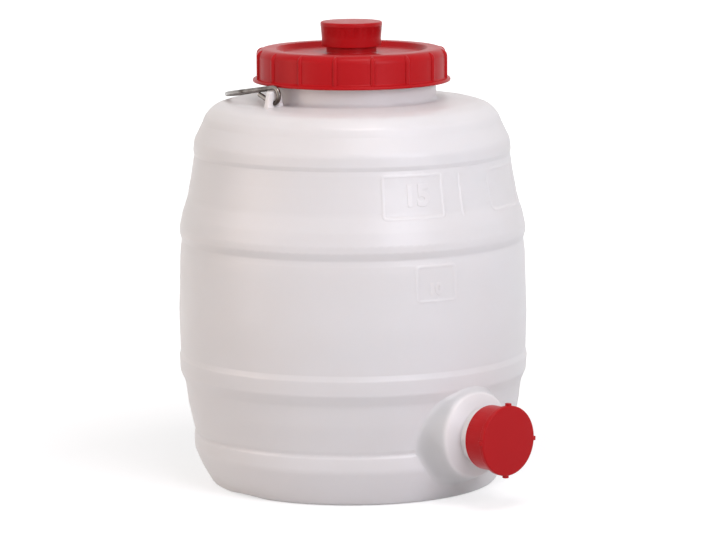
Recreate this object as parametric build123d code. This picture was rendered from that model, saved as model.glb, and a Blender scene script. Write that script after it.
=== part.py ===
from build123d import *
import math
import os

# A 20 litre blow-moulded drinks barrel: one thin hooped shell with a wide neck, an outlet boss
# and two shoulder lugs, closed by a ribbed screw lid, a small vent cap and an outlet cap, each
# on its seal, and carried by a steel wire bail hooked through the lugs.
# Millimetres. +Z is up and the outlet points to -Y. Each piece is built with the barrel's axis
# on the Z axis, and is then moved back by AXIS_Y, so that the origin lies on the floor under
# the middle of the whole object's box.

os.makedirs("parts", exist_ok=True)

# Shell: radii are given as steps in from the belly, heights up from the foot or down from the
# shoulder, so that the hoops keep their places when the barrel is made larger or smaller.
WALL = 2.6
BELLY_R = 150.3
SHOULDER_H = 331.2
NECK_R = 72.5
NECK_H = 38.3
FOOT_IN = 27.7
FOOT_W = 14.8
FOOT_ROUND = 6.0
RECESS_H = 6.5
BASE_IN = 12.1
BASE_H = 31.0
BASE_GROOVE_H = 45.8
GROOVE_DEEP = 1.3
GROOVE_HALF = 2.9
LOW_HOOP_H = 104.5
LOW_HOOP_HALF = 6.0
LOW_HOOP_STEP = 4.8
UP_HOOP_DOWN = 111.0
UP_HOOP_HALF = 3.0
UP_HOOP_IN = 1.1
TOP_BAND_IN = 13.7
TOP_BAND_DOWN = 50.2
TOP_BAND_W = 16.5
SHOULDER_FALL = 4.6
NOTCH_W = 54.0
NOTCH_DEEP = 2.3

# Lid: a ribbed skirt round the neck, a crown over the neck's rim, and a floor let into the neck.
SEAL_T = 2.7
LID_GAP = 5.5
LID_WALL = 3.4
LID_H = 28.4
LID_TOP_T = 3.3
LID_ROUND = 4.5
LID_FLANGE_OUT = 3.5
LID_FLANGE_T = 3.4
PLUG_GAP = 2.3
PLUG_WALL = 2.4
FLOOR_DROP = 4.5
FLOOR_T = 3.0
RIB_N = 16
RIB_W = 2.2
RIB_OUT = 1.4
RIB_TURN = 16.1

# Vent spout in the middle of the lid, and the small cap on it.
SPOUT_R = 21.5
SPOUT_H = 22.2
VENT_GAP = 1.4
VENT_WALL = 2.5
VENT_H = 21.0
VENT_TOP_T = 2.8
VENT_SEAL_T = 2.0
VENT_LIP_OUT = 1.1
VENT_LIP_T = 3.6

# Outlet near the foot, and the cap on it.
OUT_H = 59.5
OUT_REACH = 44.7
OUT_R = 23.4
CAP_GAP = 1.2
CAP_WALL = 2.6
CAP_L = 24.5
CAP_FACE_T = 3.0
CAP_SEAL_T = 2.0
CAP_FLANGE_OUT = 2.4
CAP_FLANGE_T = 4.4
NUB_N = 4
NUB_W = 3.4
NUB_OUT = 2.1
NUB_TURN = -3.0
COLLAR_STEP = 8.1
COLLAR_GAP = 2.0
COLLAR_L = 10.5
COLLAR_OUT = 2.2
FLARE_OUT = 5.3
FLARE_L = 15.0

# Bail: one steel wire with an eye at each end, hooked through a lug on the shoulder.
WIRE_D = 4.0
EYE_R = 6.6
EYE_UP = 9.4
LID_TO_WIRE = 1.1
BAIL_SLOPE = 8.8
BAIL_REST = 0.12
BAIL_LEG = 30.0
TAIL_RISE = 19.0
TAIL_GAP = 0.27
LUG_T = 5.0
LUG_GAP = 0.3
LUG_HALF = 5.8
LUG_SPREAD = 3.2
LUG_ROOT = 1.8
LUG_ROUND = 2.2
HOLE_GAP = 0.95

# Sizes that follow from those above.
RIM_Z = SHOULDER_H + NECK_H
SEAT_Z = RIM_Z + SEAL_T
LID_TOP_Z = SEAT_Z + LID_TOP_T
LID_FOOT_Z = LID_TOP_Z - LID_H
LID_IN_R = NECK_R + LID_GAP
LID_OUT_R = LID_IN_R + LID_WALL
FLANGE_R = LID_OUT_R + LID_FLANGE_OUT
BORE_R = NECK_R - WALL
PLUG_R = BORE_R - PLUG_GAP
FLOOR_Z = LID_TOP_Z - FLOOR_DROP
SPOUT_IN_R = SPOUT_R - WALL
SPOUT_Z = FLOOR_Z + SPOUT_H
VENT_SEAT_Z = SPOUT_Z + VENT_SEAL_T
VENT_TOP_Z = VENT_SEAT_Z + VENT_TOP_T
VENT_IN_R = SPOUT_R + VENT_GAP
VENT_OUT_R = VENT_IN_R + VENT_WALL
OUT_FACE = BELLY_R + OUT_REACH
OUT_SEAT = OUT_FACE - CAP_FACE_T
OUT_MOUTH = OUT_SEAT - CAP_SEAL_T
CAP_BACK = OUT_FACE - CAP_L
CAP_IN_R = OUT_R + CAP_GAP
CAP_OUT_R = CAP_IN_R + CAP_WALL
COLLAR_FACE = CAP_BACK - COLLAR_GAP
BAIL_HALF = FLANGE_R + LID_TO_WIRE + WIRE_D / 2
EYE_Z = SHOULDER_H + EYE_UP
EYE_IN_R = EYE_R - WIRE_D / 2
AXIS_Y = (OUT_FACE - BELLY_R) / 2


def rounded(points, closed=False):
    """Edges through (x, y, round) points, each corner rounded by a tangent arc."""
    count = len(points)
    stops = []
    for i, (x, y, radius) in enumerate(points):
        here = Vector(x, y)
        if radius == 0 or (not closed and i in (0, count - 1)):
            stops.append((here, None, here))
            continue
        before = Vector(*points[i - 1][:2]) - here
        after = Vector(*points[(i + 1) % count][:2]) - here
        half = math.radians(before.get_angle(after)) / 2
        reach = min(radius / math.tan(half), 0.49 * before.length, 0.49 * after.length)
        arc = reach * math.tan(half)
        middle = (before.normalized() + after.normalized()).normalized()
        top = here + middle * (arc / math.sin(half) - arc)
        stops.append((here + before.normalized() * reach, top, here + after.normalized() * reach))
    edges = [ThreePointArc(*stop) for stop in stops if stop[1]]
    pairs = zip(stops, stops[1:] + stops[:1]) if closed else zip(stops, stops[1:])
    for one, other in pairs:
        if (other[0] - one[2]).length > 1e-6:
            edges.append(Line(one[2], other[0]))
    return edges


def spun(points, closed=False):
    """A solid of revolution about Z: a closed loop, or a line that is closed along the axis."""
    edges = rounded(points, closed)
    if not closed:
        first, last = points[0], points[-1]
        corners = [last[:2], (0, last[1]), (0, first[1]), first[:2]]
        for one, other in zip(corners, corners[1:]):
            if math.dist(one, other) > 1e-6:
                edges.append(Line(one, other))
    return revolve(Plane.XZ * make_face(edges), Axis.Z)


def inward(points, wall):
    """The same line moved to its left by the wall, each round grown or shrunk to suit."""
    moved = []
    for i, (x, y, radius) in enumerate(points):
        near = [p for p in (points[i - 1] if i else None, points[i]) if p]
        near += points[i + 1:i + 2]
        ways = [Vector(b[0] - a[0], b[1] - a[1]).normalized() for a, b in zip(near, near[1:])]
        sides = [Vector(-w.Y, w.X) for w in ways]
        push = (sides[0] + sides[-1]) / (1 + sides[0].dot(sides[-1]))
        left = ways[0].cross(ways[-1]).Z > 0
        if radius:
            radius = max(0.5, radius - wall if left else radius + wall)
        moved.append((x + push.X * wall, y + push.Y * wall, radius))
    return moved


def teeth(band, count, width, reach, turn):
    """What is left of a ring where equal radial slabs cross it, such as ribs or nubs."""
    slab = Pos(reach / 2, 0, 0) * Box(reach, width, 4 * reach)
    slabs = [Rot(0, 0, turn + i * 360 / count) * slab for i in range(count)]
    box = band.bounding_box()
    middle = (box.min.Z + box.max.Z) / 2
    return [band & (Pos(0, 0, middle) * one) for one in slabs]


def outward(solid):
    """Turns a solid built up +Z into the outlet's place, pointing to -Y at its height."""
    return Pos(0, 0, OUT_H) * Rot(90, 0, 0) * solid


def shell_line():
    """The barrel's outer half profile, from the middle of the base up to the neck's rim."""
    foot = BELLY_R - FOOT_IN
    base = BELLY_R - BASE_IN
    hoop_low = LOW_HOOP_H - LOW_HOOP_HALF
    hoop_top = LOW_HOOP_H + LOW_HOOP_HALF
    up = SHOULDER_H - UP_HOOP_DOWN
    up_r = BELLY_R - UP_HOOP_IN
    band = BELLY_R - TOP_BAND_IN
    band_h = SHOULDER_H - TOP_BAND_DOWN
    band_top = band_h + TOP_BAND_W
    return [
        (0, RECESS_H, 0),
        (foot - FOOT_W - RECESS_H - 3.5, RECESS_H, 8),
        (foot - FOOT_W, 0, 6),
        (foot, 0, FOOT_ROUND),
        (foot + 10.0, 0.56 * BASE_H, 60),
        (base, BASE_H, 15),
        (base, BASE_GROOVE_H - GROOVE_HALF, 3),
        (base - GROOVE_DEEP, BASE_GROOVE_H, 2.5),
        (base + 0.1, BASE_GROOVE_H + GROOVE_HALF, 5),
        (base + 5.0, BASE_GROOVE_H + 24.7, 60),
        (BELLY_R - LOW_HOOP_STEP, hoop_low - 10.0, 12),
        (BELLY_R - 0.6, hoop_low - 0.5, 8),
        (BELLY_R + 0.1, hoop_top, 5),
        (BELLY_R - 0.9, hoop_top + 4.7, 3),
        (BELLY_R + 0.1, (hoop_top + up) / 2 - 18.0, 300),
        (BELLY_R - 1.4, up - 21.0, 120),
        (BELLY_R - 2.0, up - 14.0, 8),
        (BELLY_R - 2.8, up - 8.7, 5),
        (up_r, up - UP_HOOP_HALF + 0.3, 9),
        (up_r - 0.1, up + UP_HOOP_HALF, 16),
        (up_r - 2.6, up + 14.5, 22),
        (band + 5.5, up + 28.5, 40),
        (band + 1.6, band_h - 11.0, 60),
        (band, band_h, 4),
        (band - 0.7, band_h + 3.6, 2.5),
        (band, band_h + 7.2, 4),
        (band - 0.7, band_top, 14),
        (band - 7.9, band_top + 14.5, 6),
        (band - 10.4, band_top + 21.0, 11),
        (band - 17.8, SHOULDER_H - SHOULDER_FALL, 16),
        (band - 29.8, SHOULDER_H - 1.1, 30),
        (NECK_R, SHOULDER_H, 3.5),
        (NECK_R, RIM_Z, 0),
    ]


def outlet_line():
    """The outlet's outer half profile, along its own axis from inside the shell to its mouth."""
    collar = OUT_R + COLLAR_STEP
    waist = collar + COLLAR_OUT
    flare = waist + FLARE_OUT
    root = COLLAR_FACE - COLLAR_L - FLARE_L
    return [
        (flare, root - 33.0, 0),
        (flare, root, 12),
        (waist, COLLAR_FACE - COLLAR_L, 9),
        (collar, COLLAR_FACE, 2.2),
        (OUT_R, COLLAR_FACE, 1.2),
        (OUT_R, OUT_MOUTH, 0),
    ]


def lengthen(points, by):
    """The same line with its last point carried on upwards, so that a cut runs past the face."""
    x, y, radius = points[-1]
    return points[:-1] + [(x, y + by, radius)]


def lug(side):
    """A flat plate on the shoulder with a rounded head and a hole for the wire's eye."""
    top = EYE_Z + math.sqrt(EYE_IN_R ** 2 - (LUG_T / 2) ** 2) - LUG_GAP
    root = SHOULDER_H - LUG_ROOT
    foot = LUG_HALF + LUG_SPREAD
    outline = [(-foot, root, 0), (foot, root, 0), (LUG_HALF, top, LUG_ROUND), (-LUG_HALF, top, LUG_ROUND)]
    plate = extrude(Plane.XZ * make_face(rounded(outline, True)), LUG_T / 2, both=True)
    low = EYE_Z - EYE_R
    high = EYE_Z - math.sqrt(EYE_R ** 2 - (LUG_T / 2) ** 2)
    hole = Pos(0, 0, (low + high) / 2) * Rot(90, 0, 0) * Cylinder(WIRE_D / 2 + HOLE_GAP, 2 * LUG_T)
    return Pos(side * BAIL_HALF, 0, 0) * (plate - hole)


def barrel_body():
    """The blow-moulded shell: neck, hoops, foot, outlet boss and lugs in one piece."""
    outer = spun(shell_line()) + outward(spun(outlet_line()))
    inner = spun(lengthen(inward(shell_line(), WALL), 2 * WALL))
    passage = outward(spun(lengthen(inward(outlet_line(), WALL), 2 * WALL)))
    arch = (NOTCH_W ** 2 / 4 + NOTCH_DEEP ** 2) / (2 * NOTCH_DEEP)
    axis = Pos(0, 0, NOTCH_DEEP - arch) * Rot(0, 90, 0)
    notch = axis * Cylinder(arch, 3 * BELLY_R)
    step = axis * Cylinder(arch + WALL, 3 * BELLY_R)
    body = outer - notch
    for side in (-1, 1):
        body = body + lug(side)
    return body - (inner - step) - passage


def screw_lid():
    """The lid: skirt with a flange and grip ribs, crown, sunk floor, plug and vent spout."""
    crown_in = PLUG_R - PLUG_WALL
    lid = spun([
        (LID_IN_R, LID_FOOT_Z, 0.5),
        (FLANGE_R, LID_FOOT_Z, 0.8),
        (FLANGE_R, LID_FOOT_Z + LID_FLANGE_T - 1.0, 1.2),
        (LID_OUT_R, LID_FOOT_Z + LID_FLANGE_T, 1.5),
        (LID_OUT_R, LID_TOP_Z, LID_ROUND),
        (crown_in, LID_TOP_Z, 1.6),
        (crown_in - 0.6 * FLOOR_DROP, FLOOR_Z, 1.8),
        (SPOUT_R, FLOOR_Z, 1.6),
        (SPOUT_R, SPOUT_Z, 0.6),
        (SPOUT_IN_R, SPOUT_Z, 0.6),
        (SPOUT_IN_R, FLOOR_Z - FLOOR_T, 0.8),
        (PLUG_R, FLOOR_Z - FLOOR_T, 1.5),
        (PLUG_R, SEAT_Z, 0.4),
        (LID_IN_R, SEAT_Z, 0.6),
    ], True)
    band = spun([
        (LID_OUT_R - 0.8 * LID_WALL, LID_FOOT_Z + 0.5 * LID_FLANGE_T, 0),
        (LID_OUT_R + RIB_OUT, LID_FOOT_Z + 0.5 * LID_FLANGE_T, 0),
        (LID_OUT_R + RIB_OUT, LID_TOP_Z - 0.4, LID_ROUND + 1.5),
        (LID_OUT_R - 0.8 * LID_WALL, LID_TOP_Z - 0.4, 0),
    ], True)
    ribs = teeth(band, RIB_N, RIB_W, 2 * LID_OUT_R, RIB_TURN)
    return lid + ribs


def vent_cap():
    """The small screw cap on the spout, with a slightly wider lip round its top."""
    lip = VENT_OUT_R + VENT_LIP_OUT
    lip_z = VENT_TOP_Z - VENT_LIP_T
    return spun([
        (0, VENT_SEAT_Z, 0),
        (VENT_IN_R, VENT_SEAT_Z, 0.3),
        (VENT_IN_R, VENT_TOP_Z - VENT_H, 0.4),
        (VENT_OUT_R, VENT_TOP_Z - VENT_H, 0.8),
        (VENT_OUT_R, lip_z - 1.0, 1.0),
        (lip, lip_z, 0.8),
        (lip, VENT_TOP_Z, 1.4),
        (0, VENT_TOP_Z, 0),
    ], True)


def outlet_cap():
    """The outlet's screw cap: plain drum, wider face flange and four grip nubs."""
    rim = CAP_OUT_R + CAP_FLANGE_OUT
    rim_back = OUT_FACE - CAP_FLANGE_T
    cap = spun([
        (0, OUT_SEAT, 0),
        (CAP_IN_R, OUT_SEAT, 0.3),
        (CAP_IN_R, CAP_BACK, 0.4),
        (CAP_OUT_R, CAP_BACK, 0.8),
        (CAP_OUT_R, rim_back - 0.8, 1.0),
        (rim, rim_back, 0.8),
        (rim, OUT_FACE, 1.2),
        (0, OUT_FACE, 0),
    ], True)
    band = spun([
        (rim - CAP_WALL, rim_back, 0),
        (rim + NUB_OUT, rim_back, 0.8),
        (rim + NUB_OUT, OUT_FACE - 0.3, 0.8),
        (rim - CAP_WALL, OUT_FACE - 0.3, 0),
    ], True)
    nubs = teeth(band, NUB_N, NUB_W, 2 * rim, NUB_TURN)
    return outward(cap + nubs)


def seal(inner, outer, low, thick):
    """A flat rubber ring."""
    return Pos(0, 0, low) * extrude(Circle(outer) - Circle(inner), thick)


def shoulder_at(radius):
    """The height of the shell's outer line at a radius, taken on the shoulder."""
    line = shell_line()
    for low, high in reversed(list(zip(line, line[1:]))):
        if high[0] < radius <= low[0]:
            return low[1] + (high[1] - low[1]) * (low[0] - radius) / (low[0] - high[0])
    return 0.0


def bail_slope():
    """How far the bail leans back: its own slope, or less where the shoulder holds it up."""
    slope = math.radians(BAIL_SLOPE)
    reach = BAIL_LEG + BAIL_HALF
    for _ in range(8):
        far = EYE_R * math.sin(slope) + reach * math.cos(slope)
        rest = shoulder_at(far) + WIRE_D / 2 + BAIL_REST
        drop = EYE_Z + EYE_R * math.cos(slope) - rest
        slope = min(math.radians(BAIL_SLOPE), math.asin(min(1.0, drop / reach)))
    return slope


def bail_handle():
    """One wire: tail, eye, leg, half circle behind the neck, and the same again mirrored."""
    slope = bail_slope()
    rise = math.radians(TAIL_RISE)

    def on_eye(angle):
        return EYE_R * math.cos(angle), EYE_Z + EYE_R * math.sin(angle)

    start = math.pi / 2 - slope
    end = 1.5 * math.pi + rise
    top = on_eye(start)
    front = on_eye((start + end) / 2)
    foot = on_eye(end)
    tail = EYE_R * (1 + math.cos(rise + slope)) - WIRE_D - TAIL_GAP
    tail = tail / math.sin(rise + slope)
    tip = (foot[0] + tail * math.cos(rise), foot[1] + tail * math.sin(rise))
    bend = (top[0] + BAIL_LEG * math.cos(slope), top[1] - BAIL_LEG * math.sin(slope))
    apex = (bend[0] + BAIL_HALF * math.cos(slope), bend[1] - BAIL_HALF * math.sin(slope))

    def at(side, point):
        return (side * BAIL_HALF, point[0], point[1])

    path = [
        Line(at(-1, tip), at(-1, foot)),
        ThreePointArc(at(-1, foot), at(-1, front), at(-1, top)),
        Line(at(-1, top), at(-1, bend)),
        ThreePointArc(at(-1, bend), (0, apex[0], apex[1]), at(1, bend)),
        Line(at(1, bend), at(1, top)),
        ThreePointArc(at(1, top), at(1, front), at(1, foot)),
        Line(at(1, foot), at(1, tip)),
    ]
    way = Vector(*at(-1, foot)) - Vector(*at(-1, tip))
    section = Plane(origin=at(-1, tip), z_dir=way) * Circle(WIRE_D / 2)
    return sweep(section, Wire(path))


def save(node, solid):
    """Writes one piece in the frame of the whole object."""
    export_step(Pos(0, AXIS_Y, 0) * solid, "parts/" + node + ".step")


save("barrel_body", barrel_body())
save("screw_lid", screw_lid())
save("vent_cap", vent_cap())
save("outlet_cap", outlet_cap())
save("bail_handle", bail_handle())
save("lid_gasket", seal(PLUG_R + 0.7, LID_IN_R - 0.7, RIM_Z, SEAL_T))
save("vent_gasket", seal(SPOUT_IN_R + 0.2, VENT_IN_R - 0.4, SPOUT_Z, VENT_SEAL_T))
save("outlet_gasket", outward(seal(OUT_R - WALL + 0.2, CAP_IN_R - 0.4, OUT_MOUTH, CAP_SEAL_T)))
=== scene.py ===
import math

import bmesh
import bpy
from mathutils import Matrix, Vector
from mathutils.bvhtree import BVHTree


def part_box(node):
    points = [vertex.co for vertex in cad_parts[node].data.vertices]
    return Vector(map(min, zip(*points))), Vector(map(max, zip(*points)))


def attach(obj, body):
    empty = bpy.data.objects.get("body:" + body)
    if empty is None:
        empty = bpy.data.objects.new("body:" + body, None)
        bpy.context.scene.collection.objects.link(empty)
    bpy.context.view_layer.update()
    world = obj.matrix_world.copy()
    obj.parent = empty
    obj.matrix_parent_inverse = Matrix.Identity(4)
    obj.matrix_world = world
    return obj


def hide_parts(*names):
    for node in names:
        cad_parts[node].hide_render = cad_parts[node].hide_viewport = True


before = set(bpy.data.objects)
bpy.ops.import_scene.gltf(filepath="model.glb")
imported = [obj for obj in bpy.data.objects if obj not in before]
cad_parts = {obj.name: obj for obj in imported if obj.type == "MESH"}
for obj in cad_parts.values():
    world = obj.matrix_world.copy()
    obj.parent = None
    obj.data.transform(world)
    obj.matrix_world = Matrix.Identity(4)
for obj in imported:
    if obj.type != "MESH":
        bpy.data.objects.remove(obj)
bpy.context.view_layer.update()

bl_info = {
    "name": "Drinks Barrel",
    "version": (1, 0, 0),
    "blender": (4, 5, 0),
    "location": "View3D > Sidebar > Barrel",
    "description": "Dresses a packed plastic drinks barrel and sets up its studio",
    "category": "Object",
}

MM = 0.001
TAU = 2 * math.pi

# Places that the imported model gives: the barrel's axis and the outlet's height, in metres.
LID_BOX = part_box("screw_lid")
NECK_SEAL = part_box("lid_gasket")
OUTLET_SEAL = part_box("outlet_gasket")
AXIS_Y = (LID_BOX[0].y + LID_BOX[1].y) / 2
OUTLET_Z = (OUTLET_SEAL[0].z + OUTLET_SEAL[1].z) / 2

# Heights of rims and tops, how far out the outlet ends, and the lid's own sizes, in millimetres.
CROWN_THICKNESS = 3.3
RIM_Z = NECK_SEAL[0].z / MM
SPOUT_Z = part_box("vent_gasket")[0].z / MM
VENT_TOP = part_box("vent_cap")[1].z / MM
OUTLET_MOUTH = (AXIS_Y - OUTLET_SEAL[1].y) / MM
LID_TOP = NECK_SEAL[1].z / MM + CROWN_THICKNESS
LID_RADIUS = 81.4

# Folds up to this many degrees are shaded smoothly, and points this near are one point.
MOULDED_FOLD = 35.0
WIRE_FOLD = 60.0
SAME_POINT = 0.002 * MM

# The photograph's width, the lens's focal length in its pixels, and how far the barrel's axis stands
# off its middle. The sensor is in millimetres.
IMAGE_WIDTH = 716
FOCAL_PIXELS = 4000
AXIS_PIXELS = 5.3
CAMERA_ROLL = math.radians(-0.33)
SENSOR_WIDTH = 36

# Each lamp: degrees round from the camera, distance, height and size in metres, power in watts, colour,
# and the height on the axis that it is turned to.
LAMPS = {
    "key": (34, 1.9, 0.95, 1.0, 15, "#F1F2FF", 0.2),
    "fill": (-70, 2.2, 0.7, 1.4, 12, "#FFE6D4", 0.15),
    "top": (20, 0.9, 1.8, 0.8, 12, "#FFF6F6", 0.35),
}

# Each thread in millimetres: radius, pitch, number of turns, where it starts along its axis, height and
# width of its ridge, and 1 for outward or -1 for inward.
THREADS = {
    "neck": (72.5, 6.0, 1.7, RIM_Z - 16.0, 3.3, 3.4, 1),
    "lid": (78.0, 6.0, 1.7, RIM_Z - 13.0, 3.0, 3.2, -1),
    "spout": (21.5, 4.0, 2.2, SPOUT_Z - 12.5, 0.95, 1.5, 1),
    "vent": (22.9, 4.0, 2.2, SPOUT_Z - 10.5, 0.95, 1.5, -1),
    "outlet": (23.4, 5.0, 2.0, OUTLET_MOUTH - 14.0, 0.85, 1.7, 1),
    "outlet_cap": (24.6, 5.0, 2.0, OUTLET_MOUTH - 11.5, 0.85, 1.7, -1),
}

# A moulded ridge's section, as shares of its width and height, from one foot over its top to the other.
RIDGE_SECTION = [
    (-0.5, -0.35), (-0.5, 0.0), (-0.32, 0.6), (-0.12, 0.95),
    (0.12, 0.95), (0.32, 0.6), (0.5, 0.0), (0.5, -0.35)]

# The numbers of a colour Mix node's sockets, which share their names with other kinds of value.
MIX_FACTOR = 0
MIX_FIRST = 6
MIX_SECOND = 7
MIX_RESULT = 2


class ShellSettings(bpy.types.PropertyGroup):
    """Finish and moulded detail of the blown shell"""
    colour: bpy.props.StringProperty(
        name="Shell colour", description="Natural polyethylene, as an sRGB hex value", default="#E9E6E7")
    warm: bpy.props.StringProperty(
        name="Thick wall colour", description="Where the wall is thicker and looks warmer", default="#E3DDDA")
    roughness: bpy.props.FloatProperty(
        name="Roughness", description="Sheen of the blown surface",
        default=0.36, min=0, max=1, subtype="FACTOR")
    depth: bpy.props.FloatProperty(
        name="Scatter depth", description="How far light spreads in the wall", default=7 * MM, unit="LENGTH")
    relief: bpy.props.FloatProperty(
        name="Relief", description="Height of the moulded marks", default=0.42 * MM, unit="LENGTH")
    boss_radius: bpy.props.FloatProperty(
        name="Boss radius", description="Radius of the outlet boss at its front edge",
        default=36.2 * MM, unit="LENGTH")
    boss_reach: bpy.props.FloatProperty(
        name="Boss reach", description="From the barrel's axis to the boss's front edge",
        default=156 * MM, unit="LENGTH")
    boss_blend: bpy.props.FloatProperty(
        name="Boss blend", description="How softly the boss runs into the shell",
        default=6 * MM, unit="LENGTH")


class CapSettings(bpy.types.PropertyGroup):
    """Finish and grip of the lid and the two caps"""
    colour: bpy.props.StringProperty(
        name="Cap colour", description="Red polypropylene, as an sRGB hex value", default="#B0161B")
    roughness: bpy.props.FloatProperty(
        name="Roughness", description="Gloss of the moulded caps",
        default=0.3, min=0, max=1, subtype="FACTOR")
    edge_round: bpy.props.FloatProperty(
        name="Edge round", description="Rounding of the lid's top edge", default=7 * MM, unit="LENGTH")
    flutes: bpy.props.IntProperty(
        name="Flutes", description="Fine grip ridges round the outlet cap", default=48, min=8)


class WireSettings(bpy.types.PropertyGroup):
    """Finish of the wire bail"""
    # Both wire colours are darker than bare steel: painted shade and painted reflection, standing in for the
    # wire's dark and brownish reflections.
    colour: bpy.props.StringProperty(
        name="Wire colour", description="Stainless steel, as an sRGB hex value", default="#8E8985")
    dull: bpy.props.StringProperty(
        name="Dull wire colour", description="Where the drawing film is left on", default="#4F4640")
    roughness: bpy.props.FloatProperty(
        name="Roughness", description="Polish of the drawn wire",
        default=0.22, min=0, max=1, subtype="FACTOR")


class SealSettings(bpy.types.PropertyGroup):
    """Finish of the seal rings"""
    colour: bpy.props.StringProperty(
        name="Seal colour", description="Pale rubber, as an sRGB hex value", default="#D6D0C4")
    roughness: bpy.props.FloatProperty(
        name="Roughness", description="Dull skin of the rings",
        default=0.6, min=0, max=1, subtype="FACTOR")


class StageSettings(bpy.types.PropertyGroup):
    """Where the camera stands and how it looks at the barrel"""
    azimuth: bpy.props.FloatProperty(
        name="Azimuth", description="Where the camera stands round the barrel",
        default=math.radians(-41.5), unit="ROTATION")
    pitch: bpy.props.FloatProperty(
        name="Pitch", description="How far the camera looks down",
        default=math.radians(8.55), unit="ROTATION")
    distance: bpy.props.FloatProperty(
        name="Distance", description="Level distance from the barrel's axis", default=3.42, unit="LENGTH")
    height: bpy.props.FloatProperty(
        name="Height", description="Camera height above the floor", default=0.6966, unit="LENGTH")
    lens: bpy.props.FloatProperty(
        name="Lens", description="Focal length on a 36 mm wide sensor",
        default=SENSOR_WIDTH * FOCAL_PIXELS / IMAGE_WIDTH, unit="CAMERA")


def linear(value):
    """An sRGB hex value as linear red, green, blue and alpha."""
    parts = [int(value[i:i + 2], 16) / 255 for i in (1, 3, 5)]
    return [c / 12.92 if c < 0.04045 else ((c + 0.055) / 1.055) ** 2.4 for c in parts] + [1.0]


def add(tree, kind, inputs=(), **fields):
    """Adds a node, sets its fields, and gives each named or numbered input a value or a link.

    A node among the inputs stands for its first output.
    """
    node = tree.nodes.new(kind)
    for name, value in fields.items():
        setattr(node, name, value)
    for key, value in dict(inputs).items():
        if isinstance(value, bpy.types.Node):
            value = value.outputs[0]
        if isinstance(value, bpy.types.NodeSocket):
            tree.links.new(value, node.inputs[key])
        else:
            node.inputs[key].default_value = value
    return node


def new_material(name):
    """A material and its node tree, still empty."""
    made = bpy.data.materials.new(name)
    made.use_nodes = True
    made.node_tree.nodes.clear()
    return made, made.node_tree


def blown_polyethylene(shell):
    """Natural HDPE, blow-moulded: milky, light spreads through the thin wall, faint orange peel.

    Its tone changes over 111 mm, its wall waves over 36 mm, and the orange peel is 2.4 mm across.
    """
    made, tree = new_material("hdpe_natural_blow_moulded")
    where = add(tree, "ShaderNodeTexCoord").outputs["Object"]
    clouds = add(tree, "ShaderNodeTexNoise", {"Vector": where, "Scale": 1 / (111.1 * MM)})
    waves = add(tree, "ShaderNodeTexNoise", {"Vector": where, "Scale": 1 / (35.71 * MM), "Detail": 1.0})
    peel = add(tree, "ShaderNodeTexNoise", {"Vector": where, "Scale": 1 / (2.381 * MM)})
    tint = add(tree, "ShaderNodeMix", {
        MIX_FACTOR: clouds, MIX_FIRST: linear(shell.colour), MIX_SECOND: linear(shell.warm)},
        data_type="RGBA")
    sheen = add(tree, "ShaderNodeMapRange", {
        "Value": waves, "To Min": shell.roughness - 0.05, "To Max": shell.roughness + 0.07})
    low = add(tree, "ShaderNodeBump", {"Height": waves, "Strength": 0.35, "Distance": 0.6 * MM})
    fine = add(tree, "ShaderNodeBump", {
        "Height": peel, "Strength": 0.2, "Distance": 0.06 * MM, "Normal": low})
    skin = add(tree, "ShaderNodeBsdfPrincipled", {
        "Base Color": tint.outputs[MIX_RESULT], "Roughness": sheen, "IOR": 1.54,
        "Subsurface Weight": 0.85, "Subsurface Radius": (1.0, 0.93, 0.9),
        "Subsurface Scale": shell.depth, "Normal": fine})
    add(tree, "ShaderNodeOutputMaterial", {"Surface": skin})
    return made


def moulded_polypropylene(caps):
    """Red PP, injection-moulded: semi-gloss with a fine spark-eroded grain and faint rub marks.

    The rub marks are 8 mm wide and five times as tall. The grain is drawn 0.7 mm across, coarser than
    the real one, so that it shows.
    """
    made, tree = new_material("polypropylene_red_injection_moulded")
    where = add(tree, "ShaderNodeTexCoord").outputs["Object"]
    tall = add(tree, "ShaderNodeMapping", {"Vector": where, "Scale": (1, 1, 0.2)})
    clouds = add(tree, "ShaderNodeTexNoise", {"Vector": where, "Scale": 1 / (33.33 * MM)})
    grain = add(tree, "ShaderNodeTexNoise", {"Vector": where, "Scale": 1 / (0.7143 * MM)})
    rubs = add(tree, "ShaderNodeTexNoise", {
        "Vector": tall, "Scale": 1 / (8.333 * MM), "Detail": 3.0, "Roughness": 0.6})
    value = add(tree, "ShaderNodeMapRange", {"Value": clouds, "To Min": 0.93, "To Max": 1.05})
    tint = add(tree, "ShaderNodeHueSaturation", {"Color": linear(caps.colour), "Value": value})
    gloss = add(tree, "ShaderNodeMapRange", {
        "Value": rubs, "To Min": caps.roughness - 0.06, "To Max": caps.roughness + 0.1})
    low = add(tree, "ShaderNodeBump", {"Height": rubs, "Strength": 0.12, "Distance": 0.1 * MM})
    fine = add(tree, "ShaderNodeBump", {
        "Height": grain, "Strength": 0.15, "Distance": 0.03 * MM, "Normal": low})
    skin = add(tree, "ShaderNodeBsdfPrincipled", {
        "Base Color": tint, "Roughness": gloss, "IOR": 1.49, "Specular IOR Level": 0.12,
        "Subsurface Weight": 0.12, "Subsurface Radius": (1.0, 0.15, 0.12),
        "Subsurface Scale": 2 * MM, "Normal": fine})
    add(tree, "ShaderNodeOutputMaterial", {"Surface": skin})
    return made


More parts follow.
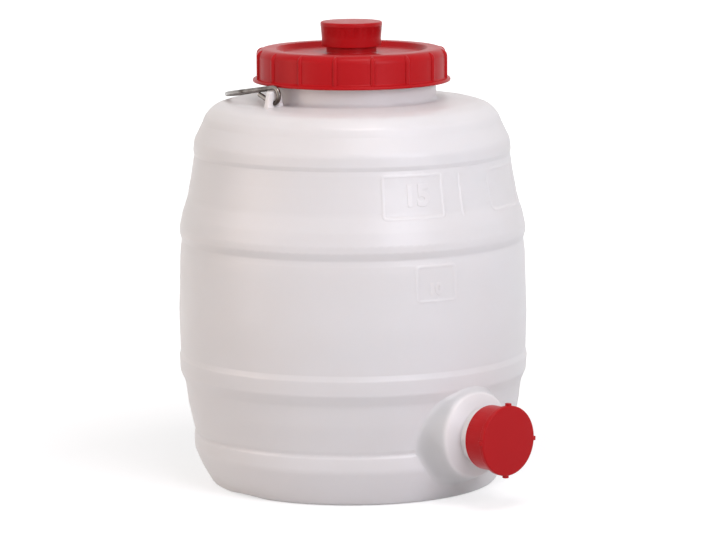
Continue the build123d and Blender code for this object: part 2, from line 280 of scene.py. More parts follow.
def drawn_stainless(wire):
    """Stainless spring wire, drawn: bright, with fine lines, a darkened tone and dull brown patches.

    The darkened tone and the brown patches are painted shade and painted reflection. They stand in for the
    dark and brownish reflections that the wire shows. The lines are drawn 1.1 mm apart, coarser than real
    ones, so that they show. The patches are 18 mm.
    """
    made, tree = new_material("stainless_steel_drawn_wire")
    where = add(tree, "ShaderNodeTexCoord").outputs["Object"]
    long = add(tree, "ShaderNodeMapping", {"Vector": where, "Scale": (1, 0.08, 1)})
    lines = add(tree, "ShaderNodeTexNoise", {
        "Vector": long, "Scale": 1 / (1.111 * MM), "Detail": 3.0, "Roughness": 0.6})
    painted_reflection_patches = add(tree, "ShaderNodeTexNoise", {"Vector": where, "Scale": 1 / (18.18 * MM)})
    # Painted reflection: random patches where the dark brown colour stands in for the wire's brownish
    # reflections.
    film = add(tree, "ShaderNodeMapRange", {"Value": painted_reflection_patches, "From Min": 0.42, "From Max": 0.6})
    tone = add(tree, "ShaderNodeMix", {
        MIX_FACTOR: film, MIX_FIRST: linear(wire.colour), MIX_SECOND: linear(wire.dull)}, data_type="RGBA")
    rough = add(tree, "ShaderNodeMapRange", {
        "Value": lines, "To Min": wire.roughness - 0.06, "To Max": wire.roughness + 0.12})
    ridge = add(tree, "ShaderNodeBump", {"Height": lines, "Strength": 0.2, "Distance": 0.03 * MM})
    shine = add(tree, "ShaderNodeBsdfPrincipled", {
        "Base Color": tone.outputs[MIX_RESULT], "Metallic": 1.0, "Roughness": rough, "Normal": ridge})
    add(tree, "ShaderNodeOutputMaterial", {"Surface": shine})
    return made


def pressed_rubber(seals):
    """Pale silicone rubber, pressed: dull and soft, with a dusty fine grain.

    The grain is drawn 1.4 mm across, coarser than the real one, so that it shows.
    """
    made, tree = new_material("silicone_rubber_pressed")
    where = add(tree, "ShaderNodeTexCoord").outputs["Object"]
    dust = add(tree, "ShaderNodeTexNoise", {
        "Vector": where, "Scale": 1 / (1.429 * MM), "Detail": 3.0, "Roughness": 0.6})
    value = add(tree, "ShaderNodeMapRange", {"Value": dust, "To Min": 0.9, "To Max": 1.05})
    tint = add(tree, "ShaderNodeHueSaturation", {"Color": linear(seals.colour), "Value": value})
    grain = add(tree, "ShaderNodeBump", {"Height": dust, "Strength": 0.3, "Distance": 0.05 * MM})
    skin = add(tree, "ShaderNodeBsdfPrincipled", {
        "Base Color": tint, "Roughness": seals.roughness, "IOR": 1.41,
        "Subsurface Weight": 0.2, "Subsurface Radius": (1.0, 0.8, 0.7),
        "Subsurface Scale": 1.5 * MM, "Normal": grain})
    add(tree, "ShaderNodeOutputMaterial", {"Surface": skin})
    return made


def dress(node_name, piece_name, body, material, fold=MOULDED_FOLD):
    """A merged, smooth-shaded copy of a CAD node, which it stands for."""
    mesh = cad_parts[node_name].data.copy()
    mesh.name = piece_name
    mesh.materials.clear()
    mesh.materials.append(material)
    piece = bpy.data.objects.new(piece_name, mesh)
    bpy.context.scene.collection.objects.link(piece)
    soften(piece, fold)
    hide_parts(node_name)
    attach(piece, body)
    return piece


def fuse(piece, meshes, operation="UNION"):
    """Joins meshes to a piece as one closed form, as they come out of one mould, or cuts with them."""
    for mesh in meshes:
        tool = bpy.data.objects.new("tool", mesh)
        bpy.context.scene.collection.objects.link(tool)
        joined = piece.modifiers.new("join", "BOOLEAN")
        joined.operation = operation
        joined.solver = "MANIFOLD"
        joined.object = tool
        settled = piece.evaluated_get(bpy.context.evaluated_depsgraph_get())
        made = bpy.data.meshes.new_from_object(settled)
        piece.modifiers.remove(joined)
        bpy.data.objects.remove(tool)
        if len(made.polygons) < len(piece.data.polygons) / 2:
            raise RuntimeError("the join lost " + piece.name)
        made.name = piece.data.name
        piece.data = made


def soften(piece, fold=MOULDED_FOLD):
    """Smooth shading, with edges that fold by more than so many degrees kept crisp."""
    form = bmesh.new()
    form.from_mesh(piece.data)
    bmesh.ops.remove_doubles(form, verts=form.verts, dist=SAME_POINT)
    for face in form.faces:
        face.smooth = True
    for edge in form.edges:
        edge.smooth = len(edge.link_faces) == 2 and edge.calc_face_angle(0.0) < math.radians(fold)
    form.to_mesh(piece.data)
    form.free()


def grown(tree, values, name):
    """The plain mesh that a node tree grows from these inputs, given by their names."""
    holder = bpy.data.objects.new(name, bpy.data.meshes.new(name))
    bpy.context.scene.collection.objects.link(holder)
    modifier = holder.modifiers.new("grow", "NODES")
    modifier.node_group = tree
    for item in tree.interface.items_tree:
        if item.item_type == "SOCKET" and item.in_out == "INPUT" and item.name in values:
            modifier[item.identifier] = values[item.name]
    settled = holder.evaluated_get(bpy.context.evaluated_depsgraph_get())
    mesh = bpy.data.meshes.new_from_object(settled)
    holder.modifiers.remove(modifier)
    bpy.data.objects.remove(holder)
    mesh.name = name
    mesh.polygons.foreach_set("use_smooth", [True] * len(mesh.polygons))
    return mesh


def new_tree(name, inputs):
    """A geometry node tree with named inputs, given as (name, socket type, default)."""
    tree = bpy.data.node_groups.new(name, "GeometryNodeTree")
    for title, kind, default in inputs:
        made = tree.interface.new_socket(title, in_out="INPUT", socket_type=kind)
        if default is not None:
            made.default_value = default
    tree.interface.new_socket("Geometry", in_out="OUTPUT", socket_type="NodeSocketGeometry")
    return tree, add(tree, "NodeGroupInput").outputs


def close_tree(tree, geometry, material):
    """Ends a tree in real geometry with a material."""
    real = add(tree, "GeometryNodeRealizeInstances", {0: geometry})
    dressed = add(tree, "GeometryNodeSetMaterial", {"Geometry": real, "Material": material})
    add(tree, "NodeGroupOutput", {0: dressed})
    return tree


def even_turns(tree, count):
    """Each copy's turn about the axis, in equal steps of a full circle."""
    index = add(tree, "GeometryNodeInputIndex")
    step = add(tree, "ShaderNodeMath", {0: TAU, 1: count}, operation="DIVIDE")
    angle = add(tree, "ShaderNodeMath", {0: index, 1: step}, operation="MULTIPLY")
    return add(tree, "ShaderNodeCombineXYZ", {"Z": angle})


def thread_tree():
    """A screw ridge along a helix: trapezoid section, fading out at both ends."""
    number = "NodeSocketFloat"
    tree, given = new_tree("screw_thread", [
        ("Radius", number, 72.0), ("Pitch", number, 6.0), ("Turns", number, 1.5), ("Foot", number, 0.0),
        ("Height", number, 2.0), ("Width", number, 3.0), ("Side", number, 1.0),
        ("Material", "NodeSocketMaterial", None)])
    steps = 120
    sunk = 0.4
    crest_share = 0.4
    round_share = 0.25
    fade_rate = 14.0

    rise = add(tree, "ShaderNodeMath", {0: given["Pitch"], 1: given["Turns"]}, operation="MULTIPLY")
    path = add(tree, "GeometryNodeCurveSpiral", {
        "Resolution": steps, "Rotations": given["Turns"], "Start Radius": given["Radius"],
        "End Radius": given["Radius"], "Height": rise})
    upright = add(tree, "GeometryNodeSetCurveNormal", {"Curve": path}, mode="Z_UP")

    along = add(tree, "GeometryNodeSplineParameter")
    back = add(tree, "ShaderNodeMath", {0: 1.0, 1: along}, operation="SUBTRACT")
    from_end = add(tree, "ShaderNodeMath", {0: along, 1: back}, operation="MINIMUM")
    growth = add(tree, "ShaderNodeMath", {0: from_end, 1: fade_rate}, operation="MULTIPLY")
    fade = add(tree, "ShaderNodeMath", {0: growth, 1: 1.0}, operation="MINIMUM")

    depth = add(tree, "ShaderNodeMath", {0: given["Height"], 1: sunk}, operation="ADD")
    crest = add(tree, "ShaderNodeMath", {0: given["Width"], 1: crest_share}, operation="MULTIPLY")
    section = add(tree, "GeometryNodeCurvePrimitiveQuadrilateral", {
        "Height": depth, "Bottom Width": given["Width"], "Top Width": crest, "Offset": 0.0},
        mode="TRAPEZOID")
    corner = add(tree, "ShaderNodeMath", {0: given["Height"], 1: round_share}, operation="MULTIPLY")
    rounded = add(tree, "GeometryNodeFilletCurve", {
        "Curve": section, "Count": 3, "Radius": corner}, mode="POLY")

    quarter = add(tree, "ShaderNodeMath", {0: given["Side"], 1: math.pi / 2}, operation="MULTIPLY")
    turn = add(tree, "ShaderNodeCombineXYZ", {"Z": quarter})
    proud = add(tree, "ShaderNodeMath", {0: given["Height"], 1: sunk}, operation="SUBTRACT")
    half = add(tree, "ShaderNodeMath", {0: proud, 1: -0.5}, operation="MULTIPLY")
    out = add(tree, "ShaderNodeMath", {0: given["Side"], 1: half}, operation="MULTIPLY")
    shift = add(tree, "ShaderNodeCombineXYZ", {"X": out})
    facing = add(tree, "GeometryNodeTransform", {
        "Geometry": rounded, "Rotation": turn, "Translation": shift})

    swept = add(tree, "GeometryNodeCurveToMesh", {
        "Curve": upright, "Profile Curve": facing, "Scale": fade, "Fill Caps": True})
    lift = add(tree, "ShaderNodeCombineXYZ", {"Z": given["Foot"]})
    lifted = add(tree, "GeometryNodeTransform", {"Geometry": swept, "Translation": lift})
    return close_tree(tree, lifted, given["Material"])


def flute_tree():
    """Fine flattened ridges at equal steps round a drum."""
    number = "NodeSocketFloat"
    tree, given = new_tree("grip_flutes", [
        ("Count", "NodeSocketInt", 36), ("Radius", number, 27.0), ("Length", number, 14.0),
        ("Width", number, 1.2), ("Material", "NodeSocketMaterial", None)])
    sides = 12
    flatness = 0.55
    ring = add(tree, "GeometryNodeMeshCircle", {"Vertices": given["Count"], "Radius": given["Radius"]})
    half = add(tree, "ShaderNodeMath", {0: given["Width"], 1: 0.5}, operation="MULTIPLY")
    bar = add(tree, "GeometryNodeMeshCylinder", {
        "Vertices": sides, "Side Segments": 1, "Radius": half, "Depth": given["Length"]})
    row = add(tree, "GeometryNodeInstanceOnPoints", {
        "Points": ring, "Instance": bar, "Rotation": even_turns(tree, given["Count"]),
        "Scale": (flatness, 1.0, 1.0)})
    return close_tree(tree, row, given["Material"])


def rib_tree():
    """A half-round rib that climbs a skirt and bends over its rounded edge, repeated round the lid."""
    number = "NodeSocketFloat"
    tree, given = new_tree("skirt_ribs", [
        ("Count", "NodeSocketInt", 16), ("Radius", number, 81.0), ("Foot", number, 349.0),
        ("Straight", number, 19.0), ("Bend", number, 6.6), ("Width", number, 4.2),
        ("Material", "NodeSocketMaterial", None)])
    steps = 26
    sides = 14
    bend_angle = math.radians(70)
    fade_end = 1.02
    fade_rate = 5.0

    line = add(tree, "GeometryNodeCurvePrimitiveLine", {"End": (0, 0, 1)})
    path = add(tree, "GeometryNodeResampleCurve", {"Curve": line, "Count": steps})
    along = add(tree, "GeometryNodeSplineParameter")
    arc = add(tree, "ShaderNodeMath", {0: given["Bend"], 1: bend_angle}, operation="MULTIPLY")
    length = add(tree, "ShaderNodeMath", {0: given["Straight"], 1: arc}, operation="ADD")
    run = add(tree, "ShaderNodeMath", {0: along, 1: length}, operation="MULTIPLY")
    over = add(tree, "ShaderNodeMath", {0: run, 1: given["Straight"]}, operation="SUBTRACT")
    past = add(tree, "ShaderNodeMath", {0: over, 1: 0.0}, operation="MAXIMUM")
    angle = add(tree, "ShaderNodeMath", {0: past, 1: given["Bend"]}, operation="DIVIDE")

    cosine = add(tree, "ShaderNodeMath", {0: angle}, operation="COSINE")
    inward = add(tree, "ShaderNodeMath", {0: 1.0, 1: cosine}, operation="SUBTRACT")
    drawn_in = add(tree, "ShaderNodeMath", {0: given["Bend"], 1: inward}, operation="MULTIPLY")
    radius = add(tree, "ShaderNodeMath", {0: given["Radius"], 1: drawn_in}, operation="SUBTRACT")
    straight = add(tree, "ShaderNodeMath", {0: run, 1: given["Straight"]}, operation="MINIMUM")
    sine = add(tree, "ShaderNodeMath", {0: angle}, operation="SINE")
    curved = add(tree, "ShaderNodeMath", {0: given["Bend"], 1: sine}, operation="MULTIPLY")
    climb = add(tree, "ShaderNodeMath", {0: straight, 1: curved}, operation="ADD")
    height = add(tree, "ShaderNodeMath", {0: climb, 1: given["Foot"]}, operation="ADD")
    spot = add(tree, "ShaderNodeCombineXYZ", {"X": radius, "Z": height})
    bent = add(tree, "GeometryNodeSetPosition", {"Geometry": path, "Position": spot})

    half = add(tree, "ShaderNodeMath", {0: given["Width"], 1: 0.5}, operation="MULTIPLY")
    section = add(tree, "GeometryNodeCurvePrimitiveCircle", {"Resolution": sides, "Radius": half})
    to_end = add(tree, "ShaderNodeMath", {0: fade_end, 1: along}, operation="SUBTRACT")
    growth = add(tree, "ShaderNodeMath", {0: to_end, 1: fade_rate}, operation="MULTIPLY")
    fade = add(tree, "ShaderNodeMath", {0: growth, 1: 1.0}, operation="MINIMUM")
    rib = add(tree, "GeometryNodeCurveToMesh", {
        "Curve": bent, "Profile Curve": section, "Scale": fade, "Fill Caps": True})
    places = add(tree, "GeometryNodeMeshLine", {"Count": given["Count"], "Offset": (0, 0, 0)})
    row = add(tree, "GeometryNodeInstanceOnPoints", {
        "Points": places, "Instance": rib, "Rotation": even_turns(tree, given["Count"])})
    return close_tree(tree, row, given["Material"])


def placed(mesh, along_outlet=False):
    """A mesh made in millimetres about its own axis, moved to the barrel's or the outlet's."""
    mesh.transform(Matrix.Scale(MM, 4))
    if along_outlet:
        mesh.transform(Matrix.Translation((0, AXIS_Y, OUTLET_Z)) @ Matrix.Rotation(math.pi / 2, 4, "X"))
    else:
        mesh.transform(Matrix.Translation((0, AXIS_Y, 0)))
    return mesh


def thread(name, material):
    """The named screw ridge, in its place on the part."""
    tree = bpy.data.node_groups.get("screw_thread") or thread_tree()
    radius, pitch, turns, foot, height, width, side = THREADS[name]
    mesh = grown(tree, {
        "Radius": radius, "Pitch": pitch, "Turns": turns, "Foot": foot, "Height": height,
        "Width": width, "Side": float(side), "Material": material}, name + "_thread")
    return placed(mesh, name.startswith("outlet"))


def round_rings(points):
    """Plain circles for ring_mesh, from their (radius, height) points."""
    return [lambda _, point=point: point for point in points]


def ring_mesh(name, rings, finish, along_outlet=False):
    """A closed tube of rings about an axis, each a function from angle to (radius, height) in mm."""
    steps = 144
    form = bmesh.new()
    rows = []
    for ring in rings:
        row = []
        for k in range(steps):
            angle = TAU * k / steps
            radius, height = ring(angle)
            row.append(form.verts.new((radius * math.cos(angle), radius * math.sin(angle), height)))
        rows.append(row)
    for one, other in zip(rows, rows[1:] + rows[:1]):
        for k in range(steps):
            j = (k + 1) % steps
            form.faces.new((one[k], one[j], other[j], other[k]))
    bmesh.ops.recalc_face_normals(form, faces=form.faces)
    mesh = bpy.data.meshes.new(name)
    form.to_mesh(mesh)
    form.free()
    mesh.materials.append(finish)
    return placed(mesh, along_outlet)


class Skin:
    """The shell's outer skin, found by casting rays at the barrel's axis."""

    def __init__(self):
        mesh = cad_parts["barrel_body"].data
        self.tree = BVHTree.FromPolygons([v.co for v in mesh.vertices], [p.vertices for p in mesh.polygons])

    def point(self, angle, height, lift):
        """A point over the skin, at an angle from the outlet towards +X and a height and a lift in mm."""
        outside = 0.3
        out = Vector((math.sin(angle), -math.cos(angle), 0))
        start = Vector((0, AXIS_Y, height * MM)) + out * outside
        hit, normal, _, _ = self.tree.ray_cast(start, -out)
        if hit is None:
            raise RuntimeError("no skin at this angle and height")
        if normal.dot(out) < 0:
            normal = -normal
        return hit + normal * lift * MM

    def radius(self, angle, height):
        """The skin's distance from the barrel's axis, in mm."""
        hit = self.point(angle, height, 0)
        return math.hypot(hit.x, hit.y - AXIS_Y) / MM


def soft_high(one, other, reach):
    """The greater of two heights, blended where they come within a reach of each other."""
    near = max(reach - abs(one - other), 0) / reach
    return max(one, other) + near * near * reach / 4


def outlet_boss(shell, finish):
    """The boss round the outlet: what is cut off in front of it, and its own wall, blended into the shell.

    Radii are from the outlet's axis and distances from the barrel's, in mm.
    """
    skin = Skin()
    edge, reach, blend = shell.boss_radius / MM, shell.boss_reach / MM, shell.boss_blend / MM
    tube = 23.4
    wall = 2.6
    face_start = tube + 0.3
    edge_start = edge - 2
    radii = [face_start + d for d in (0, 0.4, 0.9, 1.7, 3.2, 5.5, 8, 10.5)]
    radii += [edge_start + d for d in (
        0, 0.7, 1.4, 2, 2.6, 3.3, 4, 4.8, 5.6, 6.5, 7.5, 8.6, 9.8, 11, 12.4, 14, 16)]

    # How steeply the sloping face, the drafted flank and the fillet at the tube's root run, and how
    # softly they meet.
    face_slope = 0.5
    flank_slope = 2.6
    root_slope = 6
    root_rise = 9
    edge_rounding = 3.5
    root_rounding = 2

    # How far the cut clears the plain skin, how far the wall stands over the cut on the boss, how far its
    # outer and inner faces lie inside the shell's wall round it, and over what height the one becomes
    # the other. The cut reaches far out, past the whole part.
    skin_clearance = 0.6
    over_cut = 0.04
    outer_sink = 0.5
    inner_sink = 0.3
    takes_over = 0.3
    far_out = 200

    # The sleeve that joins the boss's wall to the outlet's tube.
    sleeve_inner = tube - 2.1
    sleeve_outer = tube - 0.3
    sleeve_end = reach + 13
    profile = {}

    def side(radius, angle):
        """The shell's own distance out at a place round the outlet, read at its plain back."""
        height = OUTLET_Z / MM + radius * math.sin(angle)
        if height not in profile:
            profile[height] = skin.radius(math.pi, height)
        return math.sqrt(profile[height] ** 2 - (radius * math.cos(angle)) ** 2)

    def front(radius):
        """The boss's own line: root fillet, sloping face, rounded edge and drafted flank."""
        face = reach + face_slope * (edge - radius)
        flank = reach - flank_slope * (radius - edge)
        root = reach + root_rise - root_slope * (radius - tube)
        return soft_high(-soft_high(-face, -flank, edge_rounding), root, root_rounding)

    def ring(radius, on_boss, on_shell):
        """A ring of the blended surface, moved by one amount on the boss and another on the shell."""
        def place(angle):
            plain = side(radius, angle)
            blended = soft_high(front(radius), plain, blend)
            share = min(1, (blended - plain) / takes_over)
            return radius, blended + on_shell + (on_boss - on_shell) * share
        return place

    cut = [ring(r, 0, skin_clearance) for r in radii]
    cut += round_rings([(radii[-1], far_out), (radii[0], far_out)])
    outer = [ring(r, over_cut, -outer_sink) for r in radii]
    inner = [ring(r, -wall, inner_sink - wall) for r in reversed(radii)]
    sleeve = round_rings([
        (sleeve_inner, front(tube) - wall), (sleeve_inner, sleeve_end), (sleeve_outer, sleeve_end)])
    boss_cut = ring_mesh("boss_cut", cut, finish, True)
    boss_wall = ring_mesh("boss_wall", outer + inner + sleeve, finish, True)
    return boss_cut, boss_wall


def loop_ridge(form, skin, path, centre, width, height, closed=True):
    """Lays a low rounded ridge on the skin along a path of (mm round, mm up) points."""
    angle0, z0 = centre
    reach = skin.radius(angle0, z0)
    rings = []
    count = len(path)
    for i, (u, v) in enumerate(path):
        before = path[i - 1] if (closed or i) else path[i]
        after = path[(i + 1) % count] if (closed or i < count - 1) else path[i]
        du, dv = after[0] - before[0], after[1] - before[1]
        size = math.hypot(du, dv)
        nu, nv = -dv / size, du / size
        ring = []
        for s, t in RIDGE_SECTION:
            turn = angle0 + (u + nu * s * width) / reach
            ring.append(form.verts.new(skin.point(turn, z0 + v + nv * s * width, t * height)))
        rings.append(ring)
    pairs = list(zip(rings, rings[1:]))
    if closed:
        pairs.append((rings[-1], rings[0]))
    else:
        form.faces.new(rings[0])
        form.faces.new(list(reversed(rings[-1])))
    for one, other in pairs:
        for k in range(len(RIDGE_SECTION)):
            j = (k + 1) % len(RIDGE_SECTION)
            form.faces.new((one[k], other[k], other[j], one[j]))


def rounded_frame(width, height, radius, step=2.0):
    """Points along a rectangle with round corners, centred on zero."""
    corner_parts = 4
    points = []
    for sx, sy, turn in ((1, -1, -90), (1, 1, 0), (-1, 1, 90), (-1, -1, 180)):
        cx, cy = sx * (width / 2 - radius), sy * (height / 2 - radius)
        for k in range(corner_parts + 1):
            a = math.radians(turn + k * 90 / corner_parts)
            points.append((cx + radius * math.cos(a), cy + radius * math.sin(a)))
    dense = []
    for (x0, y0), (x1, y1) in zip(points, points[1:] + points[:1]):
        parts = max(1, round(math.dist((x0, y0), (x1, y1)) / step))
        dense += [(x0 + (x1 - x0) * k / parts, y0 + (y1 - y0) * k / parts) for k in range(parts)]
    return dense


def wrapped_number(skin, text, size, centre, height):
    """A plain number laid on the skin, with softened edges."""
    thickness = 0.65
    edge = 0.3
    bolder = 0.035
    longest = 3.0
    same_point = 0.001
    letters = bpy.data.curves.new("number", "FONT")
    letters.body = text
    letters.size = size
    letters.align_x = "CENTER"
    letters.align_y = "CENTER"
    letters.extrude = thickness - edge
    letters.bevel_depth = edge
    letters.bevel_resolution = 2
    letters.offset = bolder * size
    holder = bpy.data.objects.new("number", letters)
    bpy.context.scene.collection.objects.link(holder)
    settled = holder.evaluated_get(bpy.context.evaluated_depsgraph_get())
    mesh = bpy.data.meshes.new_from_object(settled)
    bpy.data.objects.remove(holder)
    form = bmesh.new()
    form.from_mesh(mesh)
    bmesh.ops.remove_doubles(form, verts=form.verts, dist=same_point)
    bmesh.ops.triangulate(form, faces=form.faces)
    for _ in range(3):
        long_edges = [e for e in form.edges if e.calc_length() > longest]
        if long_edges:
            bmesh.ops.subdivide_edges(form, edges=long_edges, cuts=1)
            bmesh.ops.triangulate(form, faces=form.faces)
    angle0, z0 = centre
    reach = skin.radius(angle0, z0)
    for v in form.verts:
        v.co = skin.point(angle0 + v.co.x / reach, z0 + v.co.y, v.co.z / thickness * height)
    form.to_mesh(mesh)
    form.free()
    mesh.name = "number_" + text
    mesh.polygons.foreach_set("use_smooth", [True] * len(mesh.polygons))
    return mesh


def moulded_marks(context):
    """The scale frames, their numbers and the bare panel, as closed meshes on the skin."""
    skin = Skin()
    relief = context.scene.barrel_shell.relief / MM
    ridge_width = 3.4
    # Each ridge: its path in mm, its middle as degrees round and height in mm, and whether it closes.
    ridges = {
        "scale_frame_upper": (rounded_frame(54, 35, 2.5), -20, 262.8, True),
        "scale_frame_lower": (rounded_frame(36, 29, 2.5), -13.5, 190.5, True),
        "scale_line": ([(0, v) for v in range(-18, 19, 2)], -1.0, 261.5, False),
        "bare_panel": (rounded_frame(58, 34, 5.0), 26, 262.0, True),
    }
    # Each number: its letter size in mm, and its middle as degrees round and height in mm.
    numbers = {"15": (24.0, -19, 263.0), "10": (13.0, -14, 185.5)}
    made = []
    for name, (path, turn, height, closed) in ridges.items():
        form = bmesh.new()
        loop_ridge(form, skin, path, (math.radians(turn), height), ridge_width, relief, closed)
        bmesh.ops.recalc_face_normals(form, faces=form.faces)
        mesh = bpy.data.meshes.new(name)
        form.to_mesh(mesh)
        form.free()
        made.append(mesh)
    for text, (size, turn, height) in numbers.items():
        made.append(wrapped_number(skin, text, size, (math.radians(turn), height), relief))
    return made


def lid_edge_cut(bend, finish):
    """What is cut off the lid's top edge to round it."""
    clear_side = LID_RADIUS + 9
    clear_top = LID_TOP + 5
    arc = [math.radians(a) for a in range(0, 91, 9)]
    shape = [(LID_RADIUS - bend + bend * math.sin(a), LID_TOP - bend + bend * math.cos(a)) for a in arc]
    shape += [(clear_side, LID_TOP - bend), (clear_side, clear_top), (LID_RADIUS - bend, clear_top)]
    return ring_mesh("edge_cut", round_rings(shape), finish)


def lid_ribs(bend, finish):
    """The grip ribs up the lid's skirt and over its rounded edge."""
    drop = 26.5
    sunk = 0.35
    turn = math.radians(16.1)
    ribs = grown(rib_tree(), {
        "Count": 16, "Radius": LID_RADIUS - sunk, "Foot": LID_TOP - drop, "Straight": drop - bend,
        "Bend": bend - sunk, "Width": 4.2, "Material": finish}, "lid_ribs")
    ribs.transform(Matrix.Rotation(turn, 4, "Z"))
    return placed(ribs)


def vent_flare(finish):
    """The vent cap's side, which widens a little from its foot to its top."""
    inner, narrow, wide = 24.4, 25.35, 26.4
    foot, top = VENT_TOP - 15.0, VENT_TOP - 3.0
    shape = [(inner, foot), (narrow, foot), (wide, top), (inner, top)]
    return ring_mesh("vent_flare", round_rings(shape), finish)


def outlet_flutes(count, finish):
    """The fine grip ridges round the outlet cap."""
    behind_mouth = 9.0
    flutes = grown(flute_tree(), {
        "Count": count, "Radius": 26.9, "Length": 15.0, "Width": 1.1, "Material": finish},
        "outlet_cap_flutes")
    flutes.transform(Matrix.Translation((0, 0, OUTLET_MOUTH - behind_mouth)))
    return placed(flutes, True)


class BARREL_OT_shell(bpy.types.Operator):
    """Dresses the blown shell, with its outlet boss, its threads and its moulded marks"""
    bl_idname = "barrel.shell"
    bl_label = "Shell"

    def execute(self, context):
        settings = context.scene.barrel_shell
        finish = blown_polyethylene(settings)
        shell = dress("barrel_body", "shell", "barrel", finish)
        cut, wall = outlet_boss(settings, finish)
        fuse(shell, [cut], "DIFFERENCE")
        fuse(shell, [wall, thread("neck", finish), thread("outlet", finish), *moulded_marks(context)])
        soften(shell)
        # The joins leave long thin triangles, which shade unevenly without this.
        shell.modifiers.new("even shading", "WEIGHTED_NORMAL").keep_sharp = True
        return {"FINISHED"}


class BARREL_OT_caps(bpy.types.Operator):
    """Dresses the lid with its ribs, the vent cap, and the outlet cap with its flutes"""
    bl_idname = "barrel.caps"
    bl_label = "Caps"

    def execute(self, context):
        settings = context.scene.barrel_caps
        finish = moulded_polypropylene(settings)
        bend = settings.edge_round / MM
        lid = dress("screw_lid", "lid_shell", "lid", finish)
        fuse(lid, [lid_edge_cut(bend, finish)], "DIFFERENCE")
        fuse(lid, [lid_ribs(bend, finish), thread("lid", finish), thread("spout", finish)])
        vent = dress("vent_cap", "vent_cap_shell", "vent", finish)
        fuse(vent, [vent_flare(finish), thread("vent", finish)])
        outlet = dress("outlet_cap", "outlet_cap_shell", "outlet", finish)
        fuse(outlet, [thread("outlet_cap", finish), outlet_flutes(settings.flutes, finish)])
        for cap in (lid, vent, outlet):
            soften(cap)
        return {"FINISHED"}


class BARREL_OT_bail(bpy.types.Operator):
    """Dresses the wire bail"""
    bl_idname = "barrel.bail"
    bl_label = "Bail"

    def execute(self, context):
        finish = drawn_stainless(context.scene.barrel_wire)
        dress("bail_handle", "bail_wire", "bail", finish, WIRE_FOLD)
        return {"FINISHED"}


class BARREL_OT_seals(bpy.types.Operator):
    """Dresses the three seal rings"""
    bl_idname = "barrel.seals"
    bl_label = "Seals"

    def execute(self, context):
        finish = pressed_rubber(context.scene.barrel_seals)
        dress("lid_gasket", "lid_ring", "lid_seal", finish)
        dress("vent_gasket", "vent_ring", "vent_seal", finish)
        dress("outlet_gasket", "outlet_ring", "outlet_seal", finish)
        return {"FINISHED"}


def seen_white(tree):
    """1 for a ray that sees plain white, from the lens, off gloss or through a clear part, else 0."""
    rays = add(tree, "ShaderNodeLightPath").outputs
    straight = add(tree, "ShaderNodeMath", {
        0: rays["Is Camera Ray"], 1: rays["Is Glossy Ray"]}, operation="MAXIMUM")
    return add(tree, "ShaderNodeMath", {0: straight, 1: rays["Is Transmission Ray"]}, operation="MAXIMUM")


def backdrop_paper():
    """Matt white paper that a lens sees as plain white and that still takes the barrel's shadow.

    The barrel is lit by the plain paper. The lens sees dimmer paper with a glow, which is weaker near
    the barrel and full 1.1 m from it.
    """
    made, tree = new_material("paper_backdrop_matt")
    seen = seen_white(tree)
    plain = add(tree, "ShaderNodeBsdfDiffuse", {"Color": linear("#D9D9DA")})
    dim = add(tree, "ShaderNodeBsdfDiffuse", {"Color": linear("#B0B0B1")})
    where = add(tree, "ShaderNodeTexCoord").outputs["Object"]
    far = add(tree, "ShaderNodeVectorMath", {0: where}, operation="LENGTH").outputs["Value"]
    lift = add(tree, "ShaderNodeMapRange", {
        "Value": far, "From Min": 0.3, "From Max": 1.1, "To Min": 0.66, "To Max": 1.04})
    glow = add(tree, "ShaderNodeEmission", {"Color": (1, 1, 1, 1), "Strength": lift})
    lit = add(tree, "ShaderNodeAddShader", {0: dim, 1: glow})
    both = add(tree, "ShaderNodeMixShader", {0: seen, 1: plain, 2: lit})
    add(tree, "ShaderNodeOutputMaterial", {"Surface": both})
    return made


def lay_floor():
    """The wide sheet of backdrop paper that the barrel stands on."""
    half = 9
    corners = [(-half, -half, 0), (half, -half, 0), (half, half, 0), (-half, half, 0)]
    floor = bpy.data.meshes.new("floor")
    floor.from_pydata(corners, [], [(0, 1, 2, 3)])
    floor.materials.append(backdrop_paper())
    sheet = bpy.data.objects.new("floor", floor)
    bpy.context.scene.collection.objects.link(sheet)


def studio_world():
    """Soft pale light from all round, which the lens sees as plain white."""
    world = bpy.data.worlds.new("studio")
    world.use_nodes = True
    tree = world.node_tree
    tree.nodes.clear()
    soft = add(tree, "ShaderNodeBackground", {"Color": linear("#F4F3F4"), "Strength": 0.52})
    white = add(tree, "ShaderNodeBackground", {"Color": (1, 1, 1, 1), "Strength": 1.0})
    both = add(tree, "ShaderNodeMixShader", {0: seen_white(tree), 1: soft, 2: white})
    add(tree, "ShaderNodeOutputWorld", {"Surface": both})
    return world


def round_axis(azimuth, distance, height):
    """A point at an azimuth, distance and height round the barrel's axis."""
    return Vector((math.sin(azimuth) * distance, AXIS_Y - math.cos(azimuth) * distance, height))


def area_light(name, azimuth, distance, height, size, power, colour, aim):
    """A soft square lamp at an azimuth round the barrel, turned to a height on its axis."""
    lamp = bpy.data.lights.new(name, "AREA")
    lamp.shape = "SQUARE"
    lamp.size = size
    lamp.energy = power
    lamp.color = linear(colour)[:3]
    holder = bpy.data.objects.new(name, lamp)
    bpy.context.scene.collection.objects.link(holder)
    at = round_axis(azimuth, distance, height)
    holder.location = at
    holder.rotation_euler = (Vector((0, AXIS_Y, aim)) - at).to_track_quat("-Z", "Y").to_euler()


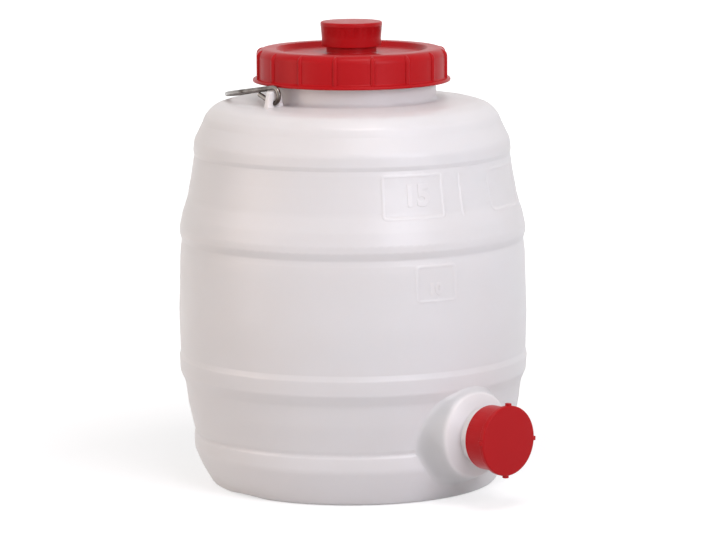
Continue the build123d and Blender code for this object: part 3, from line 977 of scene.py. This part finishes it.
def photo_camera(stage):
    """The camera where the photograph was taken, with the barrel's axis a little off its middle."""
    view = bpy.data.cameras.new("camera")
    view.sensor_width = SENSOR_WIDTH
    view.lens = stage.lens
    view.clip_end = 60
    camera = bpy.data.objects.new("camera", view)
    bpy.context.scene.collection.objects.link(camera)
    heading = stage.azimuth - math.atan(AXIS_PIXELS / FOCAL_PIXELS)
    camera.matrix_world = (
        Matrix.Translation(round_axis(stage.azimuth, stage.distance, stage.height))
        @ Matrix.Rotation(heading, 4, "Z")
        @ Matrix.Rotation(math.pi / 2 - stage.pitch, 4, "X")
        @ Matrix.Rotation(CAMERA_ROLL, 4, "Z"))
    return camera


class BARREL_OT_stage(bpy.types.Operator):
    """Sets the floor, the lamps, the world and the camera"""
    bl_idname = "barrel.stage"
    bl_label = "Stage"

    def execute(self, context):
        scene = context.scene
        stage = scene.barrel_stage
        lay_floor()
        scene.world = studio_world()
        for name, (turn, *rest) in LAMPS.items():
            area_light(name, stage.azimuth + math.radians(turn), *rest)
        scene.camera = photo_camera(stage)
        scene.view_settings.view_transform = "Standard"
        return {"FINISHED"}


OPERATORS = (
    BARREL_OT_stage, BARREL_OT_shell, BARREL_OT_caps, BARREL_OT_bail, BARREL_OT_seals)
SETTINGS = {
    "barrel_shell": ShellSettings, "barrel_caps": CapSettings, "barrel_wire": WireSettings,
    "barrel_seals": SealSettings, "barrel_stage": StageSettings}


class BARREL_PT_panel(bpy.types.Panel):
    """Lists the barrel's sizes, colours and steps"""
    bl_idname = "BARREL_PT_panel"
    bl_label = "Drinks Barrel"
    bl_space_type = "VIEW_3D"
    bl_region_type = "UI"
    bl_category = "Barrel"

    def draw(self, context):
        for name, group in SETTINGS.items():
            box = self.layout.box()
            for key in group.__annotations__:
                box.prop(getattr(context.scene, name), key)
        for step in OPERATORS:
            self.layout.operator(step.bl_idname)


def register():
    """Adds the settings, the steps and the panel."""
    for group in SETTINGS.values():
        bpy.utils.register_class(group)
    for step in (*OPERATORS, BARREL_PT_panel):
        bpy.utils.register_class(step)
    for name, group in SETTINGS.items():
        setattr(bpy.types.Scene, name, bpy.props.PointerProperty(type=group))


def unregister():
    """Takes them away again."""
    for name in SETTINGS:
        delattr(bpy.types.Scene, name)
    for step in (BARREL_PT_panel, *reversed(OPERATORS)):
        bpy.utils.unregister_class(step)
    for group in SETTINGS.values():
        bpy.utils.unregister_class(group)


def main():
    """Registers the add-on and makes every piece."""
    register()
    for step in OPERATORS:
        group, name = step.bl_idname.split(".")
        getattr(getattr(bpy.ops, group), name)()


if __name__ == "__main__":
    main()
